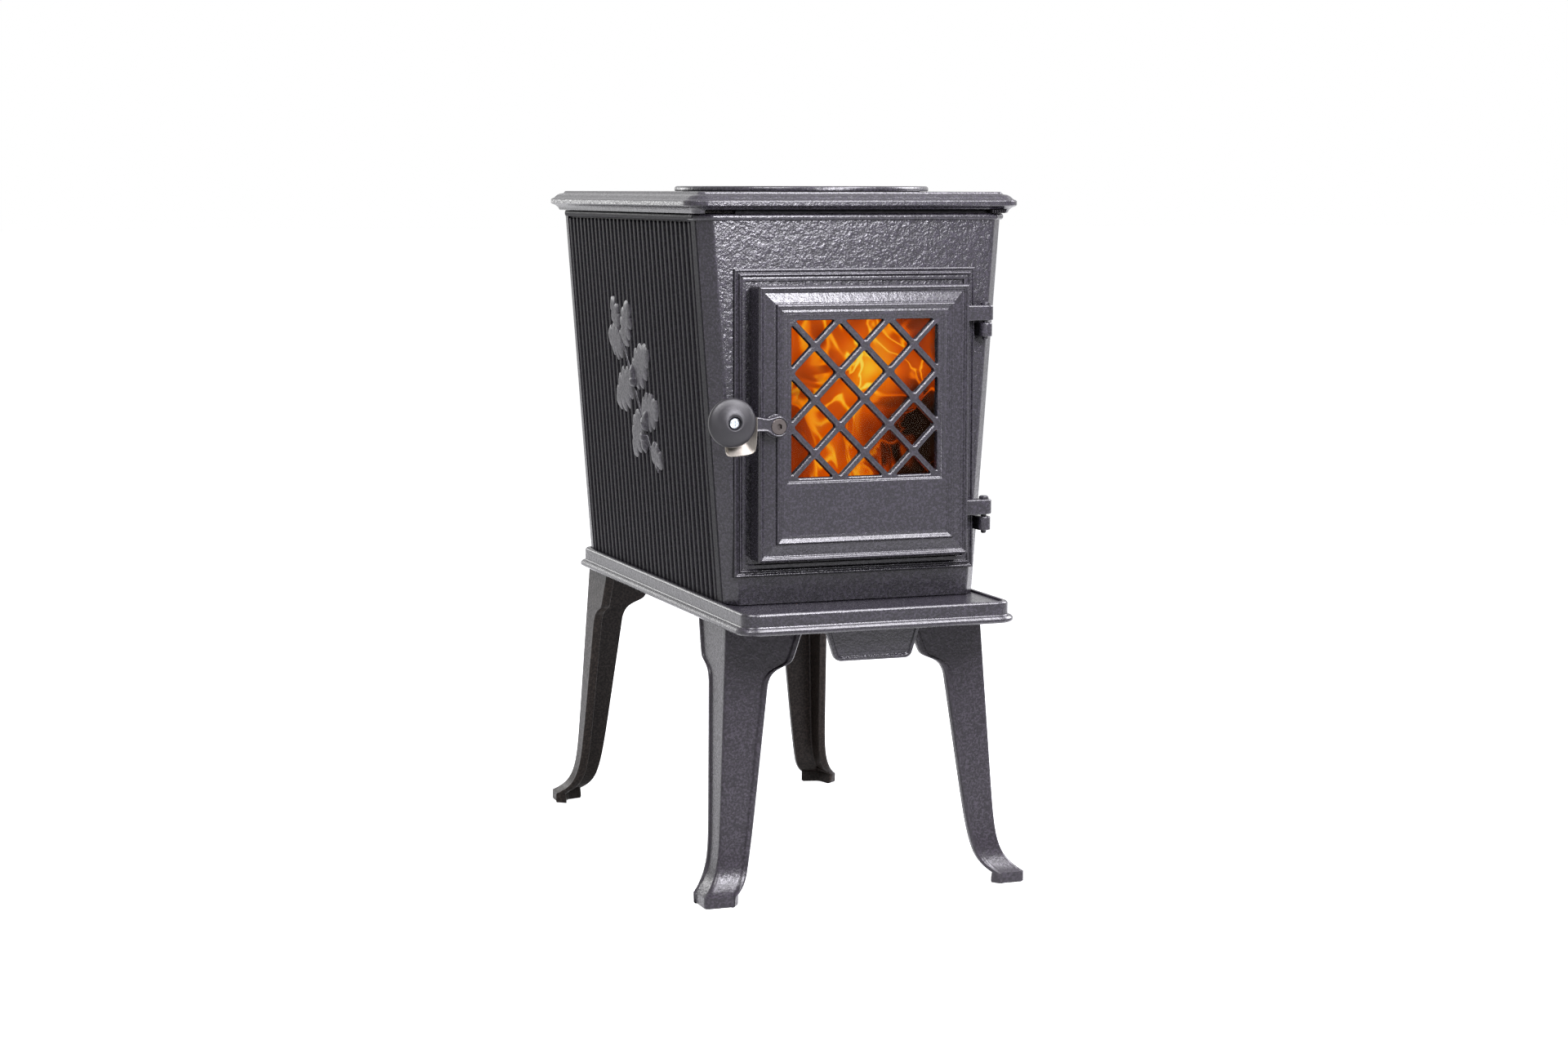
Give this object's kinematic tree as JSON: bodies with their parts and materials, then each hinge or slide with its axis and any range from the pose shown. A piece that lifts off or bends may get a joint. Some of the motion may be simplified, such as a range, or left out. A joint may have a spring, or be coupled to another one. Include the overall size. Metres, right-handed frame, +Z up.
{
  "type": "wood stove",
  "caption": "Small cast iron wood stove on flared legs, with ribbed sides, a round hob lid, a lattice glass door on the front, a knob latch, an air slider and a rear flue collar.",
  "frame": {"origin": "on the floor, at the middle of the stove's bounding box", "axes": "+Z up, the door faces -Y, the door's hinges are on the +X side, the flue leaves towards +Y"},
  "size_m": [0.32, 0.54, 0.64],
  "materials": {
    "painted_iron": "charcoal satin stove paint over a fine cast texture",
    "raw_iron": "bare casting, matt",
    "dark_steel": "blackened steel fasteners",
    "bright_zinc": "bright zinc plate",
    "spring_steel": "satin stainless strip",
    "rope_seal": "dark glass fibre rope and tape",
    "stove_glass": "clear ceramic glass",
    "black_knob": "dark satin, turned"
  },
  "bodies": {
    "stove": {"base_plate": "painted_iron", "front_apron": "painted_iron", "leg_front_left": "painted_iron", "leg_front_right": "painted_iron", "leg_rear_left": "painted_iron", "leg_rear_right": "painted_iron", "front_plate": "painted_iron", "side_plate_left": "painted_iron", "side_plate_right": "painted_iron", "rear_plate": "painted_iron", "flue_collar": "painted_iron", "top_plate": "painted_iron", "hinge_pin_lower": "painted_iron", "hinge_pin_upper": "painted_iron", "hearth_plate": "raw_iron", "burn_plate_left": "raw_iron", "burn_plate_right": "raw_iron", "burn_plate_rear": "raw_iron", "baffle_plate": "raw_iron", "log_retainer": "raw_iron", "flue_screw_1": "dark_steel", "flue_screw_2": "dark_steel", "flue_screw_3": "dark_steel", "tie_rod_front_left": "dark_steel", "tie_rod_front_right": "dark_steel", "tie_rod_rear_left": "dark_steel", "tie_rod_rear_right": "dark_steel", "latch_keeper": "dark_steel", "tie_rod_nut_front_left": "bright_zinc", "tie_rod_nut_front_right": "bright_zinc", "tie_rod_nut_rear_left": "bright_zinc", "tie_rod_nut_rear_right": "bright_zinc", "top_seal": "rope_seal"},
    "door": {"door": "painted_iron", "door_glass": "stove_glass", "glass_seal": "rope_seal", "door_seal": "rope_seal", "latch_screw": "dark_steel", "spring_washer": "dark_steel", "glass_clip_1": "spring_steel", "glass_clip_2": "spring_steel", "glass_clip_3": "spring_steel", "glass_clip_4": "spring_steel", "glass_clip_screw_1": "bright_zinc", "glass_clip_screw_2": "bright_zinc", "glass_clip_screw_3": "bright_zinc", "glass_clip_screw_4": "bright_zinc"},
    "latch": {"latch_arm": "painted_iron", "knob_guard": "spring_steel", "knob": "black_knob", "knob_screw": "bright_zinc"},
    "hob_lid": {"hob_lid": "painted_iron"},
    "air_slider": {"air_slider": "painted_iron"}
  },
  "joints": [
    {"name": "door_hinge", "type": "hinge", "parent": "stove", "child": "door", "pos_m": [0.1225, -0.21, 0.43], "axis": [0, 0, 1], "range_deg": [0, 120]},
    {"name": "latch_pivot", "type": "hinge", "parent": "door", "child": "latch", "pos_m": [-0.085, -0.23, 0.4295], "axis": [0, 1, 0], "range_deg": [0, 35]},
    {"name": "hob_lid_lift", "type": "slide", "parent": "stove", "child": "hob_lid", "axis": [0, 0, 1], "range_m": [0, 0.08]},
    {"name": "air_slide", "type": "slide", "parent": "stove", "child": "air_slider", "axis": [1, 0, 0], "range_m": [-0.03, 0]}
  ]
}
